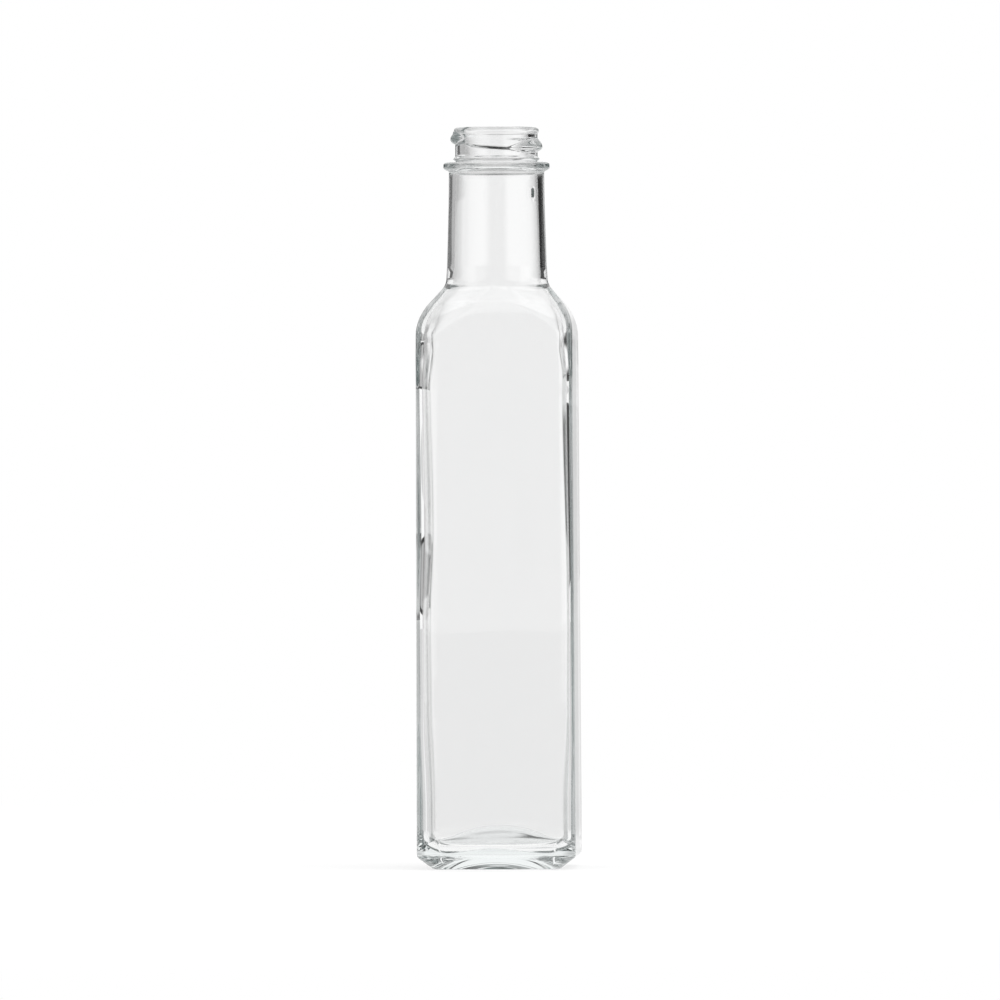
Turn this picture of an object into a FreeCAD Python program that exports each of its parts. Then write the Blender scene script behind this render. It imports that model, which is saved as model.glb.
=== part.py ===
"""Square glass bottle with a round screw neck.

The bottle is one piece of blown glass. Its outside is a tall rounded square that stands
on a bevelled heel, draws in through a shoulder to a round neck and ends in a finish: the
bead, the locking ring and the lip. Its inside follows the outside with a wall that is
thick at the heel and thin a little higher, as glass settles in the mould, and its bottom
is pushed up in a dome, above and below.

Frame: millimetres, +Z up, origin at the middle of the face that the bottle stands on.
"""
import FreeCAD, Part
import Sketcher
import math
import os

NODE = "glass_bottle"

# Driving sizes: alias, value in millimetres, what it is.
SIZES = [
    ("overall_height", 217.0, "resting face to the top of the lip"),
    ("body_width_foot", 46.5, "across the flats, just above the heel"),
    ("body_width_top", 45.8, "across the flats, where the shoulder starts"),
    ("edge_radius", 5.0, "vertical edges of the body"),
    ("heel_height", 3.7, "height of the bevel round the foot"),
    ("heel_inset", 4.7, "how far the bevel draws in at the resting face"),
    ("body_height", 151.0, "resting face to the start of the shoulder"),
    ("shoulder_height", 20.5, "start of the shoulder to the root of the neck"),
    ("root_width", 31.6, "diameter at the root of the neck"),
    ("root_height", 6.0, "height of the flare from the root into the neck"),
    ("neck_width_foot", 29.3, "diameter above the flare"),
    ("neck_width_top", 28.0, "diameter under the bead"),
    ("neck_flare_radius", 620.0, "hollow curve of the neck's outline"),
    ("neck_strip", 4.4, "width of the strip in which a flat side runs out on the neck"),
    ("bead_width", 31.2, "diameter of the bead under the thread"),
    ("bead_drop", 10.3, "top of the lip to the flat top of the bead"),
    ("bead_thickness", 2.6, "height of the bead with its sloping underside"),
    ("bead_nose", 1.7, "height of the bead's rounded nose"),
    ("groove_width", 24.0, "diameter of the groove above the bead"),
    ("ring_width", 25.6, "diameter of the locking ring above the groove"),
    ("ring_drop", 9.3, "top of the lip to the middle of the locking ring"),
    ("finish_width", 24.2, "diameter of the wall that carries the thread"),
    ("lip_width", 24.9, "diameter of the lip"),
    ("lip_height", 1.9, "height of the lip"),
    ("lip_radius", 0.9, "rounding of the lip's edges"),
    ("mouth_width", 18.8, "bore through the finish"),
    ("mouth_depth", 8.0, "length of the narrow bore"),
    ("throat_height", 5.6, "height over which the bore opens into the neck"),
    ("neck_wall", 1.9, "glass at the neck"),
    ("shoulder_wall", 2.5, "glass at the shoulder"),
    ("wall_heel", 3.3, "glass at the sides, just above the heel"),
    ("wall_low", 2.2, "glass at the sides, a third of the way up"),
    ("wall_middle", 3.1, "glass at the sides, two thirds of the way up"),
    ("wall_high", 2.3, "glass at the sides, under the shoulder"),
    ("floor_height", 4.8, "resting face to the lowest part of the inside"),
    ("floor_round", 5.0, "rounding between the floor and the sides"),
    ("inner_edge_radius", 3.0, "vertical edges of the inside"),
    ("dome_height", 12.4, "resting face to the top of the dome inside"),
    ("dome_radius", 28.4, "curve of the dome inside"),
    ("hollow_width", 32.0, "diameter of the hollow under the bottle"),
    ("hollow_height", 4.0, "resting face to the top of the hollow"),
]


class Size:
    """A length that carries its number and the spreadsheet expression behind it."""

    def __init__(self, text, number):
        self.text = text
        self.number = number

    def _join(self, other, sign, number):
        text = other.text if isinstance(other, Size) else repr(other)
        return Size(f"({self.text} {sign} {text})", number)

    def __add__(self, other):
        return self._join(other, "+", self.number + number_of(other))

    def __sub__(self, other):
        return self._join(other, "-", self.number - number_of(other))

    def __mul__(self, factor):
        return self._join(factor, "*", self.number * factor)

    def __truediv__(self, factor):
        return self._join(factor, "/", self.number / factor)


def number_of(value):
    """The plain number of a Size or of a number."""
    return value.number if isinstance(value, Size) else value


def make_sheet(doc):
    """Write the driving sizes into the spreadsheet and return them as Size values."""
    sheet = doc.addObject("Spreadsheet::Sheet", "Sizes")
    sizes = {}
    for row, (alias, number, meaning) in enumerate(SIZES, start=1):
        sheet.set(f"A{row}", alias)
        sheet.set(f"B{row}", str(number))
        sheet.set(f"C{row}", meaning)
        sheet.setAlias(f"B{row}", alias)
        sizes[alias] = Size(f"Sizes.{alias}", number)
    return sizes


def origin_plane(body, role):
    """The body's own origin plane with the given role."""
    return next(plane for plane in body.Origin.OriginFeatures if plane.Role == role)


def new_sketch(body, name, role, height=None):
    """An empty sketch on one of the body's origin planes, lifted by a height."""
    sketch = body.newObject("Sketcher::SketchObject", name)
    sketch.AttachmentSupport = [(origin_plane(body, role), "")]
    sketch.MapMode = "FlatFace"
    if height is not None:
        sketch.setExpression("AttachmentOffset.Base.z", height.text)
    return sketch


def bind(sketch, kind, *where, size):
    """Add a dimension to a sketch and tie it to the spreadsheet."""
    index = sketch.addConstraint(Sketcher.Constraint(kind, *where, size.number))
    sketch.setExpression(f"Constraints[{index}]", size.text)


def arc_about(centre, radius, start, end):
    """Sketch arc from one angle to another, in degrees."""
    circle = Part.Circle(centre, FreeCAD.Vector(0, 0, 1), radius)
    return Part.ArcOfCircle(circle, math.radians(start), math.radians(end))


def square_section(body, name, height, half, radius):
    """Level section: a square about the axis with four equal rounded corners.

    Four sides and four corner arcs follow each other from the middle of the +X side, so
    every section of a loft has the same eight edges in the same order.
    """
    sketch = new_sketch(body, name, "XY_Plane", height)
    reach, flat = half.number, half.number - radius.number
    for quarter in range(4):
        turn = FreeCAD.Rotation(FreeCAD.Vector(0, 0, 1), 90 * quarter)
        start = turn.multVec(FreeCAD.Vector(reach, -flat, 0))
        end = turn.multVec(FreeCAD.Vector(reach, flat, 0))
        centre = turn.multVec(FreeCAD.Vector(flat, flat, 0))
        sketch.addGeometry(Part.LineSegment(start, end))
        sketch.addGeometry(arc_about(centre, radius.number, 90 * quarter, 90 * quarter + 90))
    for side in range(0, 8, 2):
        sketch.addConstraint(Sketcher.Constraint("Tangent", side, 2, side + 1, 1))
        sketch.addConstraint(Sketcher.Constraint("Tangent", side + 1, 2, (side + 2) % 8, 1))
    for arc in (3, 5, 7):
        sketch.addConstraint(Sketcher.Constraint("Equal", 1, arc))
    sketch.addConstraint(Sketcher.Constraint("Vertical", 0))
    # The corner arcs' centres lie opposite each other about the axis.
    sketch.addConstraint(Sketcher.Constraint("Symmetric", 1, 3, 5, 3, -1, 1))
    bind(sketch, "Radius", 1, size=radius)
    bind(sketch, "DistanceX", -1, 1, 0, 1, size=half)
    bind(sketch, "DistanceY", -1, 1, 2, 1, size=half)
    return sketch


def round_section(body, name, height, radius, strip):
    """Level section: a circle about the axis in the same eight edges as a square section.

    The four strips in line with the flat sides are as wide as given, and the four longer
    arcs between them take up the corners.
    """
    sketch = new_sketch(body, name, "XY_Plane", height)
    lean = math.degrees(math.asin(strip.number / 2 / radius.number))
    for quarter in range(4):
        middle = 90 * quarter
        sketch.addGeometry(arc_about(FreeCAD.Vector(), radius.number, middle - lean, middle + lean))
        sketch.addGeometry(arc_about(FreeCAD.Vector(), radius.number, middle + lean, middle + 90 - lean))
    for arc in range(8):
        sketch.addConstraint(Sketcher.Constraint("Coincident", arc, 2, (arc + 1) % 8, 1))
    for arc in range(7):
        sketch.addConstraint(Sketcher.Constraint("Coincident", arc, 3, -1, 1))
    # The last arc shares both ends with its neighbours, so one more condition centres it.
    sketch.addConstraint(Sketcher.Constraint("PointOnObject", 7, 3, -1))
    for strip_arc, level, across in ((0, "Vertical", "DistanceY"), (4, "Vertical", "DistanceY"),
                                     (2, "Horizontal", "DistanceX"), (6, "Horizontal", "DistanceX")):
        first, last = (1, 2) if strip_arc in (0, 6) else (2, 1)
        sketch.addConstraint(Sketcher.Constraint(level, strip_arc, 1, strip_arc, 2))
        bind(sketch, across, strip_arc, first, strip_arc, last, size=strip)
    bind(sketch, "Radius", 0, size=radius)
    return sketch


def outline(body, name, corners):
    """Upright closed outline in the XZ plane, to be turned about the axis.

    Each corner is (distance from the axis, height, curve). The curve belongs to the edge
    that leaves the corner: None for a straight edge, or (radius, side), where side is +1
    when the edge bulges to the right of its direction and -1 when it is hollow.
    """
    sketch = new_sketch(body, name, "XZ_Plane")
    points = [FreeCAD.Vector(number_of(x), number_of(z), 0) for x, z, _ in corners]
    count = len(corners)
    for index, (_, _, curve) in enumerate(corners):
        start, end = points[index], points[(index + 1) % count]
        if curve is None:
            sketch.addGeometry(Part.LineSegment(start, end))
            continue
        radius, side = curve
        chord = end - start
        right = FreeCAD.Vector(chord.y, -chord.x, 0).normalize()
        rise = math.sqrt(radius.number ** 2 - (chord.Length / 2) ** 2)
        centre = (start + end) / 2 - right * side * rise
        through = centre + right * side * radius.number
        sketch.addGeometry(arc_through(start, through, end))
    for index, (x, z, curve) in enumerate(corners):
        following = (index + 1) % count
        leaving = end_near(sketch, index, points[following])
        arriving = end_near(sketch, following, points[following])
        sketch.addConstraint(Sketcher.Constraint("Coincident", index, leaving, following, arriving))
        here = end_near(sketch, index, points[index])
        if number_of(x) == 0:
            sketch.addConstraint(Sketcher.Constraint("PointOnObject", index, here, -2))
        else:
            bind(sketch, "DistanceX", -1, 1, index, here, size=x)
        if number_of(z) == 0:
            sketch.addConstraint(Sketcher.Constraint("PointOnObject", index, here, -1))
        else:
            bind(sketch, "DistanceY", -1, 1, index, here, size=z)
        if curve is not None:
            bind(sketch, "Radius", index, size=curve[0])
    return sketch


def arc_through(start, middle, end):
    """Sketch arc through three points."""
    edge = Part.Arc(start, middle, end).toShape()
    circle = Part.Circle(edge.Curve.Center, FreeCAD.Vector(0, 0, 1), edge.Curve.Radius)
    angles = [math.atan2(p.y - circle.Center.y, p.x - circle.Center.x) for p in (start, middle, end)]
    full = 2 * math.pi
    if (angles[1] - angles[0]) % full < (angles[2] - angles[0]) % full:
        return Part.ArcOfCircle(circle, angles[0], angles[2])
    return Part.ArcOfCircle(circle, angles[2], angles[0])


def end_near(sketch, index, point):
    """Which end of a sketch edge, 1 or 2, lies at a point."""
    edge = sketch.Geometry[index]
    return 1 if (edge.StartPoint - point).Length < (edge.EndPoint - point).Length else 2


def loft(body, name, sections, cut=False, ruled=False):
    """Loft through level sections, added to the glass or cut from it."""
    kind = "PartDesign::SubtractiveLoft" if cut else "PartDesign::AdditiveLoft"
    feature = body.newObject(kind, name)
    feature.Profile = sections[0]
    feature.Sections = sections[1:]
    feature.Ruled = ruled
    feature.Closed = False
    return feature


def turn(body, name, sketch, cut=False):
    """Turn an outline once round the axis, added to the glass or cut from it."""
    feature = body.newObject("PartDesign::Groove" if cut else "PartDesign::Revolution", name)
    feature.Profile = sketch
    feature.ReferenceAxis = (sketch, ["V_Axis"])
    feature.Angle = 360
    return feature


def make_outside(body, size):
    """The outside: bevelled heel, tapered sides, shoulder, neck and finish."""
    foot_half = size["body_width_foot"] / 2
    top_half = size["body_width_top"] / 2
    edge = size["edge_radius"]
    foot = square_section(body, "foot", size["overall_height"] * 0, foot_half - size["heel_inset"], edge * 0.8)
    heel = square_section(body, "heel_top", size["heel_height"], foot_half, edge)
    sides_top = square_section(body, "sides_top", size["body_height"], top_half, edge)
    loft(body, "heel", [foot, heel], ruled=True)
    loft(body, "sides", [heel, sides_top], ruled=True)
    make_shoulder(body, size, "shoulder", sides_top, size["overall_height"] * 0)
    make_neck(body, size)


# Levels of the shoulder: share of its height, of the way in from the sides to the root,
# and of the change from the body's edge radius to a full circle.
SHOULDER_LEVELS = [
    (0.12, 0.001, 0.01),
    (0.30, 0.014, 0.06),
    (0.48, 0.105, 0.25),
    (0.70, 0.415, 0.60),
]


def make_shoulder(body, size, name, below, wall):
    """Loft the rounded square through the shoulder into the round neck.

    With a wall of zero this is the outside. With the glass at the shoulder it is the
    cavity, whose sections lie that much further in.
    """
    cut = wall.number > 0
    half = size["body_width_top"] / 2
    edge = size["inner_edge_radius"] if cut else size["edge_radius"]
    start_wall = size["wall_high"] if cut else wall
    root = size["root_width"] / 2 - wall
    neck = size["neck_width_foot"] / 2
    if cut:
        neck = neck - size["neck_wall"]
    root_level = size["body_height"] + size["shoulder_height"]
    sections = [below]
    for index, (rise, inward, rounding) in enumerate(SHOULDER_LEVELS):
        outer = (half - start_wall) * (1 - inward)
        reach = Size(f"({outer.text} + {root.text} * {inward})", outer.number + root.number * inward)
        radius = Size(f"({edge.text} + ({reach.text} - {edge.text}) * {rounding})",
                      edge.number + (reach.number - edge.number) * rounding)
        level = size["body_height"] + size["shoulder_height"] * rise
        sections.append(square_section(body, f"{name}_{index + 1}", level, reach, radius))
    strip = size["neck_strip"]
    sections.append(round_section(body, f"{name}_root", root_level, root, strip))
    flare = neck + (size["root_width"] - size["neck_width_foot"]) * 0.12
    sections.append(round_section(body, f"{name}_flare", root_level + size["root_height"] * 0.55, flare, strip))
    sections.append(round_section(body, f"{name}_top", root_level + size["root_height"], neck, strip))
    loft(body, name, sections, cut=cut)


def make_neck(body, size):
    """The round neck and the finish, turned from one outline."""
    top = size["overall_height"]
    neck_foot = size["body_height"] + size["shoulder_height"] + size["root_height"]
    bead_top = top - size["bead_drop"]
    nose_reach = size["bead_width"] / 2 - size["bead_nose"] / 2
    ring_middle = top - size["ring_drop"]
    ring_half = (bead_top - ring_middle) * -0.55
    finish = size["finish_width"] / 2
    lip = size["lip_width"] / 2
    corners = [
        (0, neck_foot, None),
        (size["neck_width_foot"] / 2, neck_foot, (size["neck_flare_radius"], -1)),
        (size["neck_width_top"] / 2, bead_top - size["bead_thickness"], None),
        (nose_reach, bead_top - size["bead_nose"], (size["bead_nose"] / 2, 1)),
        (nose_reach, bead_top, None),
        (size["groove_width"] / 2, bead_top, None),
        (size["groove_width"] / 2, ring_middle - ring_half * 0.8, None),
        (size["ring_width"] / 2, ring_middle, None),
        (finish, ring_middle + ring_half, None),
        (finish, top - size["lip_height"], None),
        (lip, top - size["lip_height"] * 0.75, None),
        (lip, top - size["lip_radius"], (size["lip_radius"], 1)),
        (lip - size["lip_radius"], top, None),
        (0, top, None),
    ]
    turn(body, "neck_and_finish", outline(body, "neck_outline", corners))


def make_inside(body, size):
    """The inside: rounded floor, uneven sides, shoulder, neck and mouth."""
    foot_half = size["body_width_foot"] / 2
    taper = size["body_width_foot"] - size["body_width_top"]
    side_height = size["body_height"] - size["heel_height"]
    radius = size["inner_edge_radius"]

    def side_half(share, wall):
        """Half width of the inside at a share of the side's height, less the glass there."""
        return foot_half - taper * (share / 2) - wall

    def side_level(share):
        return size["heel_height"] + side_height * share

    floor, rounding = size["floor_height"], size["floor_round"]
    heel_wall = size["wall_heel"]
    sections = []
    for index, angle in enumerate((0, 30, 60, 90)):
        drawn_in = rounding * round(1 - math.sin(math.radians(angle)), 4)
        level = floor + rounding * round(1 - math.cos(math.radians(angle)), 4)
        half = side_half(0.03, heel_wall) - drawn_in * 0.7
        sections.append(square_section(body, f"floor_{index + 1}", level, half, radius))
    loft(body, "floor", sections, cut=True)
    walls = [("sides_low", 0.13, size["wall_heel"]), ("sides_third", 0.34, size["wall_low"]),
             ("sides_middle", 0.62, size["wall_middle"]), ("sides_high", 0.9, size["wall_high"])]
    inner_sides = [sections[-1]]
    for name, share, wall in walls:
        inner_sides.append(square_section(body, name, side_level(share), side_half(share, wall), radius))
    top = square_section(body, "inner_top", size["body_height"], side_half(1.0, size["wall_high"]), radius)
    loft(body, "inner_sides", inner_sides + [top], cut=True)
    make_shoulder(body, size, "inner_shoulder", top, size["shoulder_wall"])
    make_bore(body, size)


def make_bore(body, size):
    """Open the neck and the mouth from the cavity's round top to above the lip."""
    top = size["overall_height"]
    neck_foot = size["body_height"] + size["shoulder_height"] + size["root_height"]
    mouth = size["mouth_width"] / 2
    throat_top = top - size["mouth_depth"]
    throat_foot = throat_top - size["throat_height"]
    neck = size["neck_width_top"] / 2 - size["neck_wall"]
    middle = (neck + mouth) / 2
    # Each half of the throat is an arc that starts upright, so the two meet in a smooth S.
    step = (neck.number - mouth.number) / 2
    run = size["throat_height"].number / 2
    bend = Size("((({n} - {m}) / 2) ^ 2 + ({t} / 2) ^ 2) / ({n} - {m})".format(
        n=neck.text, m=mouth.text, t=size["throat_height"].text), (step ** 2 + run ** 2) / (2 * step))
    corners = [
        (0, neck_foot, None),
        (size["neck_width_foot"] / 2 - size["neck_wall"], neck_foot, None),
        (neck, throat_foot, (bend, 1)),
        (middle, throat_top - size["throat_height"] / 2, (bend, -1)),
        (mouth, throat_top, None),
        (mouth, top - size["lip_radius"], (size["lip_radius"], -1)),
        (mouth + size["lip_radius"], top, None),
        (mouth + size["lip_radius"], top + size["lip_radius"], None),
        (0, top + size["lip_radius"], None),
    ]
    turn(body, "mouth", outline(body, "bore_outline", corners), cut=True)


def make_base(body, size):
    """The pushed-up base: a dome of glass inside and a hollow underneath."""
    # The dome starts in the solid glass below the floor, level with the top of the heel.
    drop = size["dome_height"] - size["heel_height"]
    dome = size["dome_radius"]
    foot_text = f"sqrt(2 * {dome.text} * {drop.text} - {drop.text} ^ 2)"
    foot = Size(foot_text, math.sqrt(2 * dome.number * drop.number - drop.number ** 2))
    turn(body, "dome", outline(body, "dome_outline", [
        (0, size["heel_height"], None),
        (foot, size["heel_height"], (dome, 1)),
        (0, size["dome_height"], None),
    ]))
    rim = size["hollow_width"] / 2
    rise = size["hollow_height"]
    curve = Size(f"({rim.text} ^ 2 + {rise.text} ^ 2) / (2 * {rise.text})",
                 (rim.number ** 2 + rise.number ** 2) / (2 * rise.number))
    turn(body, "hollow", outline(body, "hollow_outline", [
        (0, 0, None),
        (rim, 0, (curve, 1)),
        (0, rise, None),
    ]), cut=True)


def check(doc, bodies):
    """Stop if any object failed to build or any shape is not one valid solid."""
    for item in doc.Objects:
        bad = [state for state in item.State if state in ("Invalid", "Error")]
        if bad:
            raise RuntimeError(f"{item.Name} did not build: {bad}")
    for body in bodies:
        shape = body.Shape
        if shape.isNull() or not shape.isValid() or len(shape.Solids) != 1:
            raise RuntimeError(f"{body.Label} is not one valid solid")


def main():
    doc = FreeCAD.newDocument("square_glass_bottle")
    size = make_sheet(doc)
    bottle = doc.addObject("PartDesign::Body", NODE)
    bottle.Label = NODE
    bottle.Placement = FreeCAD.Placement()
    make_outside(bottle, size)
    make_inside(bottle, size)
    make_base(bottle, size)
    doc.recompute()
    check(doc, [bottle])
    os.makedirs("parts", exist_ok=True)
    bottle.Shape.exportStep(f"parts/{bottle.Label}.step")
    box = bottle.Shape.optimalBoundingBox()
    print(f"{bottle.Label}: {bottle.Shape.Volume / 1000:.1f} cm3 of glass, "
          f"{box.XLength:.2f} x {box.YLength:.2f} x {box.ZLength:.2f} mm")


main()
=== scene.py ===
"""Square glass bottle: the fine glass shell that stands for the CAD solid, and its studio.

The bottle is one closed shell of clear glass. It is computed as a grid whose rows run from
the middle of the hollow base, out over the heel, up the outside, over the lip, down the
inside and across the floor to the top of the dome, and whose columns run round the axis.
"""
import logging
import math
from dataclasses import dataclass, field
from enum import Enum
from typing import Any

import bpy
import numpy as np
from mathutils import Matrix, Vector


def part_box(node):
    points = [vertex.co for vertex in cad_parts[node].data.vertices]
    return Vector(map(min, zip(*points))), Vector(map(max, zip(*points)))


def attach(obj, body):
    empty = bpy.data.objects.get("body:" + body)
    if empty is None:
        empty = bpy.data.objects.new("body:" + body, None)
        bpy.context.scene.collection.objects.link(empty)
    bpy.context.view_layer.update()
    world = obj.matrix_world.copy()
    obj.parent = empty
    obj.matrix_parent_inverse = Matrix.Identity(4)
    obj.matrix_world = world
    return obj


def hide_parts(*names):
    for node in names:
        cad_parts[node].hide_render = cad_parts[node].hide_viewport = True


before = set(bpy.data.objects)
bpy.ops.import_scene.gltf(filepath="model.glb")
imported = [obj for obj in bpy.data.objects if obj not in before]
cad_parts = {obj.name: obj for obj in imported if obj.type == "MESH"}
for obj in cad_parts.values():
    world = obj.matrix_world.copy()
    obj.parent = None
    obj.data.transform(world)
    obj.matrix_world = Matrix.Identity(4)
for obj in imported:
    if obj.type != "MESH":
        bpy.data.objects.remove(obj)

Array = np.ndarray
LOG = logging.getLogger("square_glass_bottle")
MM = 0.001
NODE = "glass_bottle"


# ---------------------------------------------------------------- shader sheets


class Op(Enum):
    """Math nodes that the wires use."""

    ADD = "ADD"
    SUBTRACT = "SUBTRACT"
    MULTIPLY = "MULTIPLY"
    DIVIDE = "DIVIDE"
    ABSOLUTE = "ABSOLUTE"
    MAXIMUM = "MAXIMUM"
    MINIMUM = "MINIMUM"


class Wire:
    """A shader number that can be written into an ordinary expression."""

    def __init__(self, sheet: "NodeSheet", socket: Any) -> None:
        """Keep the sheet and the output socket that carries the number."""
        self.sheet = sheet
        self.socket = socket

    def __add__(self, other: Any) -> "Wire":
        """Sum of two numbers."""
        return self.sheet.math(Op.ADD, self, other)

    __radd__ = __add__

    def __sub__(self, other: Any) -> "Wire":
        """Difference of two numbers."""
        return self.sheet.math(Op.SUBTRACT, self, other)

    def __rsub__(self, other: Any) -> "Wire":
        """A plain number less this one."""
        return self.sheet.math(Op.SUBTRACT, other, self)

    def __mul__(self, other: Any) -> "Wire":
        """Product of two numbers."""
        return self.sheet.math(Op.MULTIPLY, self, other)

    __rmul__ = __mul__

    def __truediv__(self, other: Any) -> "Wire":
        """This number divided by another."""
        return self.sheet.math(Op.DIVIDE, self, other)

    def __abs__(self) -> "Wire":
        """This number without its sign."""
        return self.sheet.math(Op.ABSOLUTE, self)

    def at_least(self, other: Any) -> "Wire":
        """The larger of this number and another."""
        return self.sheet.math(Op.MAXIMUM, self, other)

    def clipped(self) -> "Wire":
        """This number held between 0 and 1."""
        return self.sheet.math(Op.MINIMUM, self.at_least(0.0), 1.0)


class NodeSheet:
    """A node tree that is filled by expressions."""

    def __init__(self, tree: Any) -> None:
        """Empty the tree and keep it."""
        self.tree = tree
        self.tree.nodes.clear()

    def node(self, kind: str, settings: dict[str, Any] | None = None,
             inputs: dict[Any, Any] | None = None) -> Any:
        """Make one node.

        Args:
            kind: the node's type, without the leading "ShaderNode".
            settings: attributes such as an operation, set before the sockets.
            inputs: a value, a wire or a socket for each input by name or place.

        Returns:
            The node.
        """
        made = self.tree.nodes.new(f"ShaderNode{kind}")
        for name, value in (settings or {}).items():
            setattr(made, name, value)
        for name, value in (inputs or {}).items():
            self.feed(made.inputs[name], value)
        return made

    def feed(self, socket: Any, value: Any) -> None:
        """Set an input to a plain value, or link it to a wire or an output socket."""
        if isinstance(value, Wire):
            self.tree.links.new(value.socket, socket)
        elif isinstance(value, bpy.types.NodeSocket):
            self.tree.links.new(value, socket)
        else:
            socket.default_value = value

    def wire(self, node: Any, output: Any = 0) -> Wire:
        """One output of a node as a wire."""
        return Wire(self, node.outputs[output])

    def math(self, op: Op, *numbers: Any) -> Wire:
        """A Math node on one or two numbers or wires."""
        return self.wire(self.node("Math", {"operation": op.value}, dict(enumerate(numbers))))

    def step(self, value: Wire, limits: tuple[float, float]) -> Wire:
        """0 at the first limit, 1 at the second, and a smooth step between them."""
        return self.wire(self.node("MapRange", {"interpolation_type": "SMOOTHSTEP"}, {
            "Value": value, "From Min": limits[0], "From Max": limits[1]}))


@dataclass(frozen=True)
class RayKind:
    """How a ray came to a surface or to the room, as wires that are 0 or 1.

    Attributes:
        direct: 1 for a ray straight from the camera.
        looking: 1 for a ray from the camera, off a gloss or through glass.
        once: 1 for a ray that was reflected once or more.
        twice: 1 for a ray that was reflected twice or more.
        thrice: 1 for a ray that was reflected three times or more.
        through_glass: 1 for a ray that has passed through a face of the glass.
    """

    direct: Wire
    looking: Wire
    once: Wire
    twice: Wire
    thrice: Wire
    through_glass: Wire

    @classmethod
    def of(cls, sheet: NodeSheet) -> "RayKind":
        """Read the kinds of ray on a sheet.

        Args:
            sheet: the node tree that asks.

        Returns:
            The wires.
        """
        path = sheet.node("LightPath")
        direct = sheet.wire(path, "Is Camera Ray")
        looking = direct + sheet.wire(path, "Is Glossy Ray") + sheet.wire(path, "Is Transmission Ray")
        depth = sheet.wire(path, "Glossy Depth")
        passes = sheet.wire(path, "Transmission Depth")
        return cls(direct, looking.clipped(), depth.clipped(), (depth - 1.0).clipped(),
                   (depth - 2.0).clipped(), passes.clipped())


# ---------------------------------------------------------------- finishes


@dataclass(frozen=True)
class ClearGlass:
    """Clear soda-lime glass whose thick parts turn faintly green.

    Attributes:
        ior: how strongly the glass bends light.
        tint: colour of the absorbing volume.
        density: strength of the volume; a length L keeps exp(-(1 - tint) density L).
    """

    ior: float = 1.517
    tint: tuple[float, float, float] = (0.79, 0.865, 0.86)
    density: float = 10.0

    def material(self) -> bpy.types.Material:
        """The glass as a material: a smooth refracting surface over an absorbing volume.

        Returns:
            The material.
        """
        made = bpy.data.materials.new("clear_glass")
        made.use_nodes = True
        sheet = NodeSheet(made.node_tree)
        surface = sheet.node("BsdfPrincipled", inputs={
            "Base Color": (1.0, 1.0, 1.0, 1.0), "Roughness": 0.0, "IOR": self.ior,
            "Transmission Weight": 1.0})
        volume = sheet.node("VolumeAbsorption", inputs={
            "Color": (*self.tint, 1.0), "Density": self.density})
        sheet.node("OutputMaterial", inputs={
            "Surface": surface.outputs[0], "Volume": volume.outputs[0]})
        return made


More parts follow.
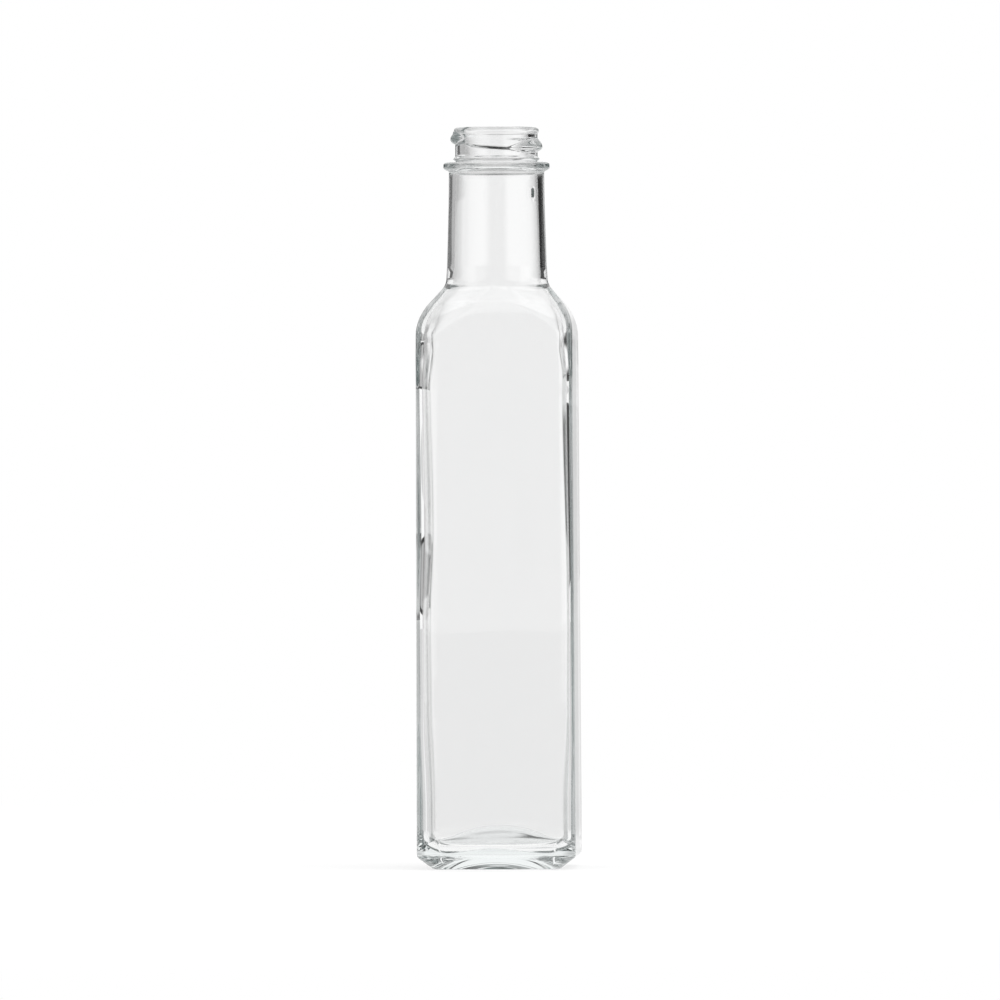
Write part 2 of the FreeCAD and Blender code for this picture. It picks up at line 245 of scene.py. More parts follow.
@dataclass(frozen=True)
class StudioFloor:
    """Pale matt table top that looks white and keeps a soft shadow.

    A pair of numbers is the limits of a smooth step, 0 at the first and 1 at the second.

    Attributes:
        paint: its matt colour under the lamp.
        glow: how bright it looks by itself near the bottle.
        dim: its matt colour where it is looked at near the bottle.
        near: distance from the bottle at which its shadow starts to fade.
        far: distance beyond which it is plain white.
        under_glass: how bright it is through the glass, under the bottle.
        past_glass: how bright it is through the glass, away from the bottle, a little darker as painted
            shade.
        foot: distances from the axis between the parts under the bottle and away from it.
        beyond: distances from the axis over which what happens away from the bottle starts.
        cornerwise: |x y| over the squared distance, between which it is beside the diagonals
            and along them.
        corner_dim: how much it is darkened along the diagonals, seen through the glass, as painted shade.
        front: distances in front of the bottle over which its reflection fades to dark, as painted shade.
        front_slant: how far that fading moves forward, for each metre to a side.
        front_twice: how much less it fades for rays that were reflected more than once.
        narrow: |x| over the distance, at which the narrow strip behind the bottle is still
            full and has ended.
        narrow_front: distances in front of the bottle at which it is still full and has ended.
        narrow_dim: how much the strip is darkened, as painted shade, for rays that were reflected once.
        deep_dim: how much all of it is darkened, as painted shade, for rays that were reflected three times
            or more.
    """

    paint: float = 0.80
    glow: float = 0.76
    dim: float = 0.28
    near: float = 0.30
    far: float = 0.75
    under_glass: float = 1.0
    past_glass: float = 0.965
    foot: tuple[float, float] = (0.03, 0.06)
    beyond: tuple[float, float] = (0.10, 0.30)
    cornerwise: tuple[float, float] = (0.08, 0.45)
    corner_dim: float = 0.30
    front: tuple[float, float] = (0.02, 0.09)
    front_slant: float = 0.5
    front_twice: float = 0.40
    narrow: tuple[float, float] = (0.10, 0.14)
    narrow_front: tuple[float, float] = (0.0, 0.1)
    narrow_dim: float = 0.22
    deep_dim: float = 0.45

    def material(self) -> bpy.types.Material:
        """Matt paint, and for looks at it, off the glass and through it a white glow.

        Returns:
            The material.
        """
        made = bpy.data.materials.new("studio_floor")
        made.use_nodes = True
        sheet = NodeSheet(made.node_tree)
        ray = RayKind.of(sheet)
        place = sheet.node("TexCoord").outputs["Object"]
        reach = sheet.wire(sheet.node("VectorMath", {"operation": "LENGTH"}, {0: place}), "Value")
        white = self.glowing(sheet, self.whiteness(sheet, ray, place, reach))
        matt, dim = (sheet.node("BsdfDiffuse", inputs={"Color": (tone, tone, tone, 1.0)})
                     for tone in (self.paint, self.dim))
        own = self.glowing(sheet, self.glow)
        shaded = sheet.node("AddShader", inputs={0: dim.outputs[0], 1: own.outputs[0]})
        near = ray.direct * (1.0 - sheet.step(reach, (self.near, self.far)))
        seen = sheet.node("MixShader", inputs={0: near, 1: white.outputs[0], 2: shaded.outputs[0]})
        mix = sheet.node("MixShader", inputs={0: ray.looking, 1: matt.outputs[0], 2: seen.outputs[0]})
        sheet.node("OutputMaterial", inputs={"Surface": mix.outputs[0]})
        return made

    def whiteness(self, sheet: NodeSheet, ray: RayKind, place: Any, reach: Wire) -> Wire:
        """How bright the white glow is for each kind of ray, 1 for the camera's own; through the glass and
        in reflections it is lowered in places as painted shade.

        Args:
            sheet: the material's sheet.
            ray: how the ray came to the table.
            place: socket of the point on the table.
            reach: distance of the point from the axis.

        Returns:
            The strength of the glow.
        """
        along = sheet.node("SeparateXYZ", inputs={0: place})
        across, behind = sheet.wire(along, "X"), sheet.wire(along, "Y")
        ahead = (behind + abs(across) * self.front_slant) * -1.0
        beyond = sheet.step(reach, self.beyond)
        diagonal = sheet.step(abs(across * behind) / (reach * reach), self.cornerwise) * beyond
        # Painted shade: through the glass the glow is a little darker away from the bottle and darker still
        # along the diagonals.
        glassy = self.under_glass + sheet.step(reach, self.foot) * (self.past_glass - self.under_glass)
        glassy = glassy * (1.0 - diagonal * self.corner_dim)
        # Painted shade in reflections: dark in front of the bottle, along a narrow strip behind it, and
        # after three reflections.
        mirrored = (ray.once - ray.twice * self.front_twice) * sheet.step(ahead, self.front)
        strip = (1.0 - sheet.step(abs(across) / reach, self.narrow)) * beyond
        strip = (ray.once - ray.twice) * strip * (1.0 - sheet.step(ahead, self.narrow_front))
        level = (1.0 + ray.through_glass * (glassy - 1.0)) * (1.0 - mirrored)
        return level * (1.0 - strip * self.narrow_dim) * (1.0 - ray.thrice * self.deep_dim)

    @staticmethod
    def glowing(sheet: NodeSheet, strength: Any) -> Any:
        """A white glow of a strength."""
        return sheet.node("Emission", inputs={"Color": (1.0, 1.0, 1.0, 1.0), "Strength": strength})


@dataclass(frozen=True)
class SoftLight:
    """A soft round patch of light in the room, seen in reflections.

    Attributes:
        toward: direction from the bottle to the middle of the patch.
        rim: cosine of the angle from the middle at which the light starts.
        full: cosine of the angle inside which it is full.
        strength: how bright it is.
    """

    toward: tuple[float, float, float]
    rim: float
    full: float
    strength: float

    def seen(self, sheet: NodeSheet, direction: Any) -> Wire:
        """Brightness of the patch in a direction.

        Args:
            sheet: the room's sheet.
            direction: socket of the direction.

        Returns:
            The brightness, 0 outside the patch.
        """
        aim = Vector(self.toward).normalized()
        closeness = sheet.node("VectorMath", {"operation": "DOT_PRODUCT"}, {0: direction, 1: aim})
        return sheet.step(sheet.wire(closeness, "Value"), (self.rim, self.full)) * self.strength


@dataclass(frozen=True)
class StudioRoom:
    """The light that comes from all round.

    Heights and sideways measures are parts of a direction of length 1. A pair of numbers
    is the limits of a smooth step, 0 at the first and 1 at the second.

    Attributes:
        ambient: even light on the table.
        backdrop: white behind the bottle, seen directly and straight through the glass.
        room: brightness of the dark part of the room, seen in reflections.
        lights: soft patches of light, seen in reflections.
        left_light: faint patch at the left, seen in reflections.
        left_from: heights over which the left patch starts.
        sweep: heights over which the white sweep behind the bottle starts.
        sweep_top: heights at which the sweep has ended and is still full.
        sweep_side: how far behind the bottle the sweep starts.
        wall_top: heights at which the low white wall behind it has ended and is still full.
        low_sweep: heights over which a lower sweep starts, straight behind the bottle.
        low_side: how far behind the bottle the lower sweep starts.
        narrow: |x| at which the narrow strip in front of and behind the bottle is still full
            and has ended.
        narrow_top: heights at which that strip is still full and has ended.
        narrow_dim: how much the strip is darkened, as painted shade, for rays that were reflected once.
        deep_dim: how much reflections are darkened, as painted shade, for rays reflected three times or
            more.
        cornerwise: |x y| over which the view through the glass dims towards the diagonals.
        upward: heights over which the view through the glass dims.
        through_dim: how much the view through the glass is darkened there, as painted shade.
    """

    ambient: float = 0.85
    backdrop: float = 1.0
    room: float = 0.03
    lights: tuple[SoftLight, ...] = (
        SoftLight((0.0, 1.0, 0.0), 0.980, 0.995, 0.97),
        SoftLight((0.87, -0.50, 0.0), 0.72, 0.90, 0.90),
        SoftLight((-0.87, -0.50, 0.0), 0.72, 0.90, 0.60),
        SoftLight((0.0, 0.35, 0.94), 0.80, 0.88, 0.95))
    left_light: SoftLight = SoftLight((-0.80, 0.60, 0.0), 0.90, 0.97, 0.50)
    left_from: tuple[float, float] = (0.026, 0.031)
    sweep: tuple[float, float] = (0.08, 0.22)
    sweep_top: tuple[float, float] = (0.75, 0.55)
    sweep_side: tuple[float, float] = (-0.05, 0.35)
    wall_top: tuple[float, float] = (0.0145, 0.0105)
    low_sweep: tuple[float, float] = (0.016, 0.026)
    low_side: tuple[float, float] = (0.97, 0.99)
    narrow: tuple[float, float] = (0.10, 0.14)
    narrow_top: tuple[float, float] = (0.036, 0.05)
    narrow_dim: float = 0.22
    deep_dim: float = 0.45
    cornerwise: tuple[float, float] = (0.08, 0.45)
    upward: tuple[float, float] = (0.08, 0.60)
    through_dim: float = 0.45

    def build(self, world: bpy.types.World) -> None:
        """Fill the world: white straight through, and the room by reflection.

        Args:
            world: the scene's world.
        """
        world.use_nodes = True
        sheet = NodeSheet(world.node_tree)
        ray = RayKind.of(sheet)
        direction = sheet.node("TexCoord").outputs["Generated"]
        parts = sheet.node("SeparateXYZ", inputs={0: direction})
        across, behind, level = (sheet.wire(parts, axis) for axis in "XYZ")
        height = abs(level)
        # Painted shade: a narrow strip of the room, and the room after three reflections, are darkened in
        # reflections.
        strip = (1.0 - sheet.step(abs(across), self.narrow)) * (1.0 - sheet.step(height, self.narrow_top))
        lit = self.reflected(sheet, direction, behind, level)
        lit = lit * (1.0 - strip * (1.0 - ray.twice) * self.narrow_dim)
        lit = lit * (1.0 - ray.thrice * self.deep_dim)
        # Painted shade: the white seen through the glass is darkened towards the diagonals and upward.
        away = sheet.step(abs(across * behind), self.cornerwise)
        away = away.at_least(sheet.step(height, self.upward))
        straight = self.backdrop - away * (1.0 - ray.direct) * self.through_dim
        seen = ray.once * lit + (1.0 - ray.once) * straight
        strength = ray.looking * seen + (1.0 - ray.looking) * self.ambient
        glow = sheet.node("Background", inputs={"Color": (1.0, 1.0, 1.0, 1.0), "Strength": strength})
        sheet.node("OutputWorld", inputs={"Surface": glow.outputs[0]})

    def reflected(self, sheet: NodeSheet, direction: Any, behind: Wire, level: Wire) -> Wire:
        """Brightness of the room as a reflection shows it: the brightest of its lit parts.

        Args:
            sheet: the room's sheet.
            direction: socket of the direction.
            behind: how far the direction points behind the bottle.
            level: how far it points up.

        Returns:
            The brightness.
        """
        height = abs(level)
        top = sheet.step(height, self.sweep_top)
        sweep = (sheet.step(height, self.sweep) * top).at_least(sheet.step(level, self.wall_top) * top)
        low = sheet.step(level, self.low_sweep) * sheet.step(behind, self.low_side)
        lit = (sweep * sheet.step(behind, self.sweep_side)).at_least(low)
        for light in self.lights:
            lit = lit.at_least(light.seen(sheet, direction))
        left = self.left_light.seen(sheet, direction) * sheet.step(level, self.left_from)
        return lit.at_least(left).at_least(self.room)


# ---------------------------------------------------------------- shape helpers


def squircle(half: Array, radius: Array, turn: Array) -> Array:
    """Distance from the axis to a square with rounded corners.

    With c = half - radius, the flat side gives half / cos(angle) and the corner arc about
    (c, c) gives c (cos + sin) + sqrt(radius^2 - c^2 (cos - sin)^2), where the angle is
    folded into the first octant. A radius equal to the half width gives a circle.

    Args:
        half: half the width across the flats.
        radius: radius of the corners.
        turn: angle about the axis.

    Returns:
        The distances, in the shape that the three arguments broadcast to.
    """
    folded = np.abs((turn + math.pi / 4) % (math.pi / 2) - math.pi / 4)
    cos, sin = np.cos(folded), np.sin(folded)
    core = half - radius
    under_root = np.maximum(radius ** 2 - core ** 2 * (cos - sin) ** 2, 0.0)
    corner = core * (cos + sin) + np.sqrt(under_root)
    return np.where(half * sin <= core * cos, half / cos, corner)


def ease(share: Array) -> Array:
    """Smooth step: 3 s^2 - 2 s^3 with the share held between 0 and 1."""
    held = np.clip(share, 0.0, 1.0)
    return held * held * (3.0 - 2.0 * held)


def curve_through(knots: list[tuple[float, float]], at: Array) -> Array:
    """Smooth curve through a few knots: between two of them the value eases from one to the next.

    Args:
        knots: (place, value) of each knot, in order.
        at: places at which the curve is wanted.

    Returns:
        The values.
    """
    places = np.array([knot[0] for knot in knots])
    values = np.array([knot[1] for knot in knots])
    index = np.clip(np.searchsorted(places, at) - 1, 0, len(knots) - 2)
    share = (at - places[index]) / (places[index + 1] - places[index])
    return values[index] + (values[index + 1] - values[index]) * ease(share)


def rounded_path(corners: list[tuple[float, float, float]], arc_steps: int, spacing: float) -> Array:
    """Path of straight runs whose corners are rounded by tangent arcs.

    At a corner where the path turns by an angle t, the arc of radius r starts and ends
    r tan(t / 2) from the corner.

    Args:
        corners: (distance from the axis, height, radius of the arc) of each corner.
        arc_steps: pieces in which an arc is cut.
        spacing: longest piece of a straight run.

    Returns:
        Points of the path, one row each.
    """
    points = [np.array(corner[:2]) for corner in corners]
    pieces = [points[0][None, :]]
    for before, here, after, corner in zip(points, points[1:], points[2:], corners[1:]):
        arrive = (here - before) / np.linalg.norm(here - before)
        leave = (after - here) / np.linalg.norm(after - here)
        turn = math.acos(float(np.clip(arrive @ leave, -1.0, 1.0)))
        if corner[2] <= 0.0 or turn < 1e-4:
            pieces.append(here[None, :])
            continue
        reach = corner[2] * math.tan(turn / 2)
        side = math.copysign(1.0, arrive[0] * leave[1] - arrive[1] * leave[0])
        start = here - arrive * reach
        centre = start + side * corner[2] * np.array([-arrive[1], arrive[0]])
        swing = side * turn * np.linspace(0.0, 1.0, arc_steps + 1)
        spoke = start - centre
        arc = np.stack([spoke[0] * np.cos(swing) - spoke[1] * np.sin(swing),
                        spoke[0] * np.sin(swing) + spoke[1] * np.cos(swing)], axis=1)
        pieces.append(centre + arc)
    pieces.append(points[-1][None, :])
    return refined(np.concatenate(pieces), spacing)


def refined(path: Array, spacing: float) -> Array:
    """The path with every piece cut into equal parts no longer than the spacing.

    Args:
        path: points, one row each.
        spacing: longest part.

    Returns:
        The finer path, one row each.
    """
    lengths = np.linalg.norm(np.diff(path, axis=0), axis=1)
    counts = np.maximum(np.ceil(lengths / spacing), 1).astype(int)
    runs = [start + (end - start) * np.arange(count)[:, None] / count
            for start, end, count in zip(path[:-1], path[1:], counts)]
    return np.concatenate(runs + [path[-1:]])


def smooth_max(first: Array, second: Array, blend: float) -> Array:
    """The larger of two values, rounded where they cross: max + (blend - |difference|)^2 / 4 blend."""
    near = np.maximum(blend - np.abs(first - second), 0.0)
    return np.maximum(first, second) + near ** 2 / (4.0 * blend)


# ---------------------------------------------------------------- the bottle


@dataclass
class BottleSizes:
    """Sizes of the bottle in metres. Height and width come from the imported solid.

    A reach is a distance from the axis, and a drop is a distance below the lip's top. Feet,
    bends, the root, and the heights of heel, floor, dome and hollow are measured from the
    resting face. The inner join is how far below the shoulder's foot the shoulder and the
    sides of the inside meet.
    """

    height: float
    width: float
    width_top: float = 45.8 * MM
    edge_radius: float = 5.0 * MM
    heel_height: float = 3.7 * MM
    heel_inset: float = 4.7 * MM
    heel_round: float = 1.6 * MM
    foot_round: float = 1.1 * MM
    shoulder_foot: float = 151.0 * MM
    shoulder_bend: float = 161.6 * MM
    shoulder_bend_radius: float = 15.0 * MM
    root: float = 171.1 * MM
    root_reach: float = 14.98 * MM
    root_radius: float = 4.5 * MM
    neck_foot: float = 176.5 * MM
    neck_foot_reach: float = 14.64 * MM
    neck_bend: float = 196.0 * MM
    neck_bend_radius: float = 60.0 * MM
    neck_reach: float = 13.98 * MM
    bead_reach: float = 15.6 * MM
    bead_drop: float = 10.3 * MM
    bead_thickness: float = 2.6 * MM
    bead_nose: float = 1.7 * MM
    groove_reach: float = 12.0 * MM
    ring_reach: float = 12.8 * MM
    ring_drop: float = 9.3 * MM
    finish_reach: float = 12.1 * MM
    lip_reach: float = 12.45 * MM
    lip_height: float = 1.9 * MM
    lip_radius: float = 0.9 * MM
    mouth_reach: float = 9.4 * MM
    mouth_depth: float = 8.0 * MM
    throat_height: float = 5.6 * MM
    neck_inner_reach: float = 12.1 * MM
    neck_wall: float = 1.9 * MM
    mean_wall: float = 2.4 * MM
    root_wall: float = 2.0 * MM
    inner_edge_radius: float = 2.9 * MM
    inner_join: float = 8.0 * MM
    floor_height: float = 4.8 * MM
    floor_round: float = 5.0 * MM
    dome_height: float = 12.4 * MM
    dome_radius: float = 28.4 * MM
    dome_blend: float = 1.2 * MM
    hollow_reach: float = 16.0 * MM
    hollow_height: float = 4.0 * MM
    hollow_blend: float = 0.5 * MM

    @classmethod
    def from_frame(cls) -> "BottleSizes":
        """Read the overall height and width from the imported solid's box.

        Returns:
            The sizes.
        """
        low, high = (np.array(corner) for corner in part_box(NODE))
        return cls(height=float(high[2] - low[2]), width=float(high[0] - low[0]))


@dataclass
class ScrewThread:
    """The single raised thread of the finish.

    Its crest climbs by the pitch in each turn. Its section has a steep lower flank and a
    gentler upper one, both rounded, and it rises from the wall and sinks back into it
    over the run-out angle at its two ends.

    Attributes:
        height: how far the crest stands out of the wall.
        below: breadth of the lower flank.
        above: breadth of the upper flank.
        below_power: power of the lower flank's curve 1 - s^p.
        above_power: power of the upper flank's curve (1 - s^2)^p.
        pitch: how far it climbs in a full turn.
        level: height of the crest where the angle is zero.
        start: angle at which it starts.
        end: angle at which it ends.
        run_out: angle over which each end sinks into the wall.
        end_breadth: breadth of its very ends, as a share of the full breadth.
    """

    height: float = 1.4 * MM
    below: float = 1.5 * MM
    above: float = 2.5 * MM
    below_power: float = 2.6
    above_power: float = 1.5
    pitch: float = 4.23 * MM
    level: float = 211.45 * MM
    start: float = math.radians(-70.0)
    end: float = math.radians(226.0)
    run_out: float = math.radians(36.0)
    end_breadth: float = 0.2

    def relief(self, turn: Array, level: Array) -> Array:
        """How far the thread stands out of the wall.

        Args:
            turn: angle about the axis, between 0 and a full turn.
            level: height above the resting face.

        Returns:
            The relief, zero away from the thread.
        """
        total = np.zeros(np.broadcast(turn, level).shape)
        for wind in (-1, 0, 1):
            angle = turn + wind * 2 * math.pi
            offset = level - (self.level + self.pitch * angle / (2 * math.pi))
            ends = ease((angle - self.start) / self.run_out) * ease((self.end - angle) / self.run_out)
            breadth = self.end_breadth + (1.0 - self.end_breadth) * ends
            flank = np.where(offset < 0.0, -offset / self.below, offset / self.above)
            across = np.clip(flank / breadth, 0.0, 1.0)
            ridge = np.where(offset < 0.0, 1.0 - across ** self.below_power,
                             (1.0 - across ** 2) ** self.above_power)
            total = np.maximum(total, self.height * ridge * ends)
        return total


@dataclass
class NeckMark:
    """Short upright raised bar on the neck, to the right of its front.

    Attributes:
        height: how far it stands out of the neck.
        width: its width round the neck.
        length: its upright length.
        turn: angle of its middle about the axis.
        level: height of its middle.
        side_slope: how steeply its long sides rise.
        end_slope: how steeply its ends rise.
    """

    height: float = 0.60 * MM
    width: float = 1.0 * MM
    length: float = 3.2 * MM
    turn: float = math.radians(322.0)
    level: float = 197.6 * MM
    side_slope: float = 1.6
    end_slope: float = 4.0

    def relief(self, reach: Array, turn: Array, level: Array) -> Array:
        """How far the bar stands out of the neck.

        Args:
            reach: distance of the neck's surface from the axis.
            turn: angle about the axis, between 0 and a full turn.
            level: height above the resting face.

        Returns:
            The relief, zero away from the bar.
        """
        across = np.abs(turn - self.turn) * reach / (self.width / 2)
        along = np.abs(level - self.level) / (self.length / 2)
        rise = self.height * ease((1.0 - across) * self.side_slope)
        return rise * ease((1.0 - along) * self.end_slope)


@dataclass
class GlassBottle:
    """The bottle's glass shell.

    Attributes:
        size: the bottle's sizes.
        finish: the glass.
        thread: the thread of the finish.
        mark: the bar on the neck.
        columns: points round the axis.
        corner_crowding: how closely the columns crowd at the four rounded edges.
        hollow_rows: rows of the hollow under the foot.
        ring_rows: rows of the resting ring, with the hollow's last.
        side_rows: rows of the inside's tapered sides, with the shoulder's last.
        floor_rows: rows of the inside's floor, inside its rounded edge.
    """

    size: BottleSizes
    finish: ClearGlass
    thread: ScrewThread = field(default_factory=ScrewThread)
    mark: NeckMark = field(default_factory=NeckMark)
    columns: int = 192
    corner_crowding: float = 0.72
    hollow_rows: int = 20
    ring_rows: int = 8
    side_rows: int = 76
    floor_rows: int = 28

    def turns(self) -> Array:
        """Angles of the columns, crowded towards the four rounded edges.

        In each quarter the angle is q + crowding sin(2 pi q) / 2 pi of a right angle, where
        q runs evenly from 0 to 1.

        Returns:
            The angles, one for each column.
        """
        even = np.arange(self.columns) * 4.0 / self.columns
        return (even + self.corner_crowding * np.sin(2 * math.pi * even) / (2 * math.pi)) * math.pi / 2

    def ring(self, half: Array, radius: Array, level: Array, extra: Array | float = 0.0) -> Array:
        """Rows of points on rounded squares.

        Args:
            half: half width of each row.
            radius: corner radius of each row.
            level: height of each row.
            extra: further distance from the axis, for each point or for all.

        Returns:
            Points in the shape (rows, columns, 3).
        """
        turn = self.turns()[None, :]
        reach = squircle(half[:, None], radius[:, None], turn) + extra
        heights = np.broadcast_to(level[:, None], reach.shape)
        return np.stack([reach * np.cos(turn), reach * np.sin(turn), heights], axis=2)

    def side_half(self, level: Array) -> Array:
        """Half width of the body at a height: a straight taper from the heel to the shoulder.

        Args:
            level: heights above the resting face.

        Returns:
            The half widths.
        """
        size = self.size
        share = (level - size.heel_height) / (size.shoulder_foot - size.heel_height)
        return (size.width + (size.width_top - size.width) * np.clip(share, 0.0, 1.0)) / 2

    def corner_share(self, half: Array, half_body: float, half_root: float) -> Array:
        """How far the section has turned from the body's square to a circle.

        With t the way that the half width has gone from the body's to the root's, the
        share is t to the power 0.62, so the corners open up sooner than the sides close.

        Args:
            half: half width of each row.
            half_body: half width at which the turning starts.
            half_root: half width at which the section is a circle.

        Returns:
            The share, from 0 for the square to 1 for the circle.
        """
        way = np.clip((half_body - half) / (half_body - half_root), 0.0, 1.0)
        return way ** 0.62

    def underside(self) -> Array:
        """The hollow and the resting ring.

        The hollow is a cap of a sphere: its height falls by r^2 over twice the sphere's
        radius. The ring goes from the hollow's circle to the foot's rounded square.

        Returns:
            Points in the shape (rows, columns, 3).
        """
        size = self.size
        sphere = (size.hollow_reach ** 2 + size.hollow_height ** 2) / (2 * size.hollow_height)
        reach = size.hollow_reach * np.sin(np.linspace(0.03, 1.0, self.hollow_rows) * math.pi / 2)
        level = size.hollow_height - sphere + np.sqrt(sphere ** 2 - reach ** 2)
        level = smooth_max(level, np.zeros_like(level), size.hollow_blend)
        hollow = self.ring(reach, reach, level)
        foot_half = np.array([size.width / 2 - size.heel_inset - size.foot_round])
        foot = self.ring(foot_half, np.array([size.edge_radius * 0.7]), np.zeros(1))
        share = np.linspace(0.0, 1.0, self.ring_rows)[1:, None, None]
        ring = hollow[-1:] + (foot - hollow[-1:]) * share
        ring[:, :, 2] *= (1.0 - share[:, :, 0]) ** 4
        return np.concatenate([hollow, ring])

    def body(self) -> Array:
        """Heel, tapered sides and shoulder up to the neck's foot.

        The outline across the flats is a path of straight runs and arcs, and the corner
        radius follows it: smaller at the foot, even up the sides, a full circle at the root.

        Returns:
            Points in the shape (rows, columns, 3).
        """
        size = self.size
        foot_half = size.width / 2 - size.heel_inset
        path = rounded_path([
            (foot_half - size.foot_round, 0.0, 0.0),
            (foot_half, 0.0, size.foot_round),
            (size.width / 2, size.heel_height, size.heel_round),
            (size.width_top / 2, size.shoulder_foot, 0.0),
            (size.width_top / 2 - 0.05 * MM, size.shoulder_bend, size.shoulder_bend_radius),
            (size.root_reach, size.root, size.root_radius),
            (size.neck_foot_reach, size.neck_foot, 0.0)], arc_steps=10, spacing=2.5 * MM)
        half, level = path[1:, 0], path[1:, 1]
        heel = size.edge_radius * (0.7 + 0.3 * ease(level / size.heel_height))
        turned = self.corner_share(half, size.width_top / 2, size.root_reach + 0.9 * MM)
        turned = np.where(level > size.shoulder_foot, turned, 0.0)
        radius = heel + (half - heel) * turned
        return self.ring(half, radius, level)

    def neck(self) -> Array:
        """Neck, bead, groove, ring, threaded wall and lip, all round.

        Returns:
            Points in the shape (rows, columns, 3).
        """
        size = self.size
        top = size.height
        bead_top = top - size.bead_drop
        nose = size.bead_nose / 2
        ring_level = top - size.ring_drop
        path = rounded_path([
            (size.neck_foot_reach, size.neck_foot, 0.0),
            (size.neck_reach + 0.1 * MM, size.neck_bend, size.neck_bend_radius),
            (size.neck_reach, bead_top - size.bead_thickness, 0.7 * MM),
            (size.bead_reach, bead_top - size.bead_nose - 0.1 * MM, nose * 0.75),
            (size.bead_reach, bead_top, nose * 0.8),
            (size.groove_reach, bead_top, 0.35 * MM),
            (size.groove_reach, ring_level - 0.45 * MM, 0.3 * MM),
            (size.ring_reach, ring_level - 0.1 * MM, 0.3 * MM),
            (size.finish_reach, ring_level + 0.9 * MM, 0.8 * MM),
            (size.finish_reach, top - size.lip_height, 0.5 * MM),
            (size.lip_reach, top - size.lip_height * 0.7, 0.5 * MM),
            (size.lip_reach, top, size.lip_radius),
            (size.mouth_reach + size.lip_radius, top, 0.0)], arc_steps=6, spacing=0.25 * MM)
        path = self.thin_below(path[1:], self.mark.level - self.mark.length * 0.55, 1.4 * MM)
        reach, level = path[:, 0], path[:, 1]
        on_wall = ((level > ring_level + 0.6 * MM) & (level < top - size.lip_radius))[:, None]
        relief = self.thread.relief(self.turns()[None, :], level[:, None]) * on_wall
        below = (level < bead_top - size.bead_thickness)[:, None]
        mark = self.mark.relief(reach[:, None], self.turns()[None, :], level[:, None])
        return self.ring(reach, reach, level, relief + mark * below)

    @staticmethod
    def thin_below(path: Array, level: float, spacing: float) -> Array:
        """Keep only well spaced points of a path below a height, where it is plain.

        Args:
            path: points (distance from the axis, height) that climb.
            level: height from which every point stays.
            spacing: least climb between two points below it.

        Returns:
            The points that stay.
        """
        kept, last = [], -1.0
        for index, height in enumerate(path[:, 1]):
            if height >= level or height - last >= spacing:
                kept.append(index)
                last = height
        return path[kept]

    def mouth(self) -> Array:
        """The bore: rounded edge, narrow mouth, and the throat that opens into the neck.

        Returns:
            Points in the shape (rows, columns, 3).
        """
        size = self.size
        top = size.height
        edge = np.linspace(0.0, math.pi / 2, 7)[1:]
        lip = np.stack([size.mouth_reach + size.lip_radius * (1.0 - np.sin(edge)),
                        top - size.lip_radius * (1.0 - np.cos(edge))], axis=1)
        throat_top = top - size.mouth_depth
        throat_foot = throat_top - size.throat_height
        level = np.concatenate([np.linspace(lip[-1, 1], throat_top, 8)[1:],
                                np.linspace(throat_top, throat_foot, 15)[1:]])
        widening = ease((throat_top - level) / size.throat_height)
        reach = size.mouth_reach + (size.neck_inner_reach - size.mouth_reach) * widening
        rows = np.concatenate([lip, np.stack([reach, level], axis=1)])
        return self.ring(rows[:, 0], rows[:, 0], rows[:, 1])

    def wall(self, level: Array, turn: Array) -> Array:
        """Thickness of the sides: thick at the heel, thin above it, thicker halfway up.

        The left and the right side differ, and a few slow waves round and up the bottle
        make it as uneven as blown glass.

        Args:
            level: heights above the resting face.
            turn: angles about the axis.

        Returns:
            The thickness, in the shape that the two arguments broadcast to.
        """
        foot = [(0.0, 3.0 * MM), (18.0 * MM, 2.9 * MM), (46.0 * MM, 2.0 * MM)]
        left = curve_through(foot + [(73.0 * MM, 1.8 * MM), (98.0 * MM, 2.5 * MM), (146.0 * MM, 1.8 * MM),
                               (160.0 * MM, 2.4 * MM), (172.0 * MM, 2.4 * MM)], level)
        right = curve_through(foot + [(76.0 * MM, 1.8 * MM), (137.0 * MM, 2.6 * MM), (152.0 * MM, 2.0 * MM),
                                (172.0 * MM, 2.4 * MM)], level)
        even = left + (right - left) * ease(0.5 + np.cos(turn) * 0.7)
        waves = (np.sin(3.0 * turn - level / (53.0 * MM) + 2.1) * 0.04
                 + np.sin(2.0 * turn) * 0.5 + np.cos(4.0 * turn) * 0.35)
        return even + (waves - 0.25) * MM

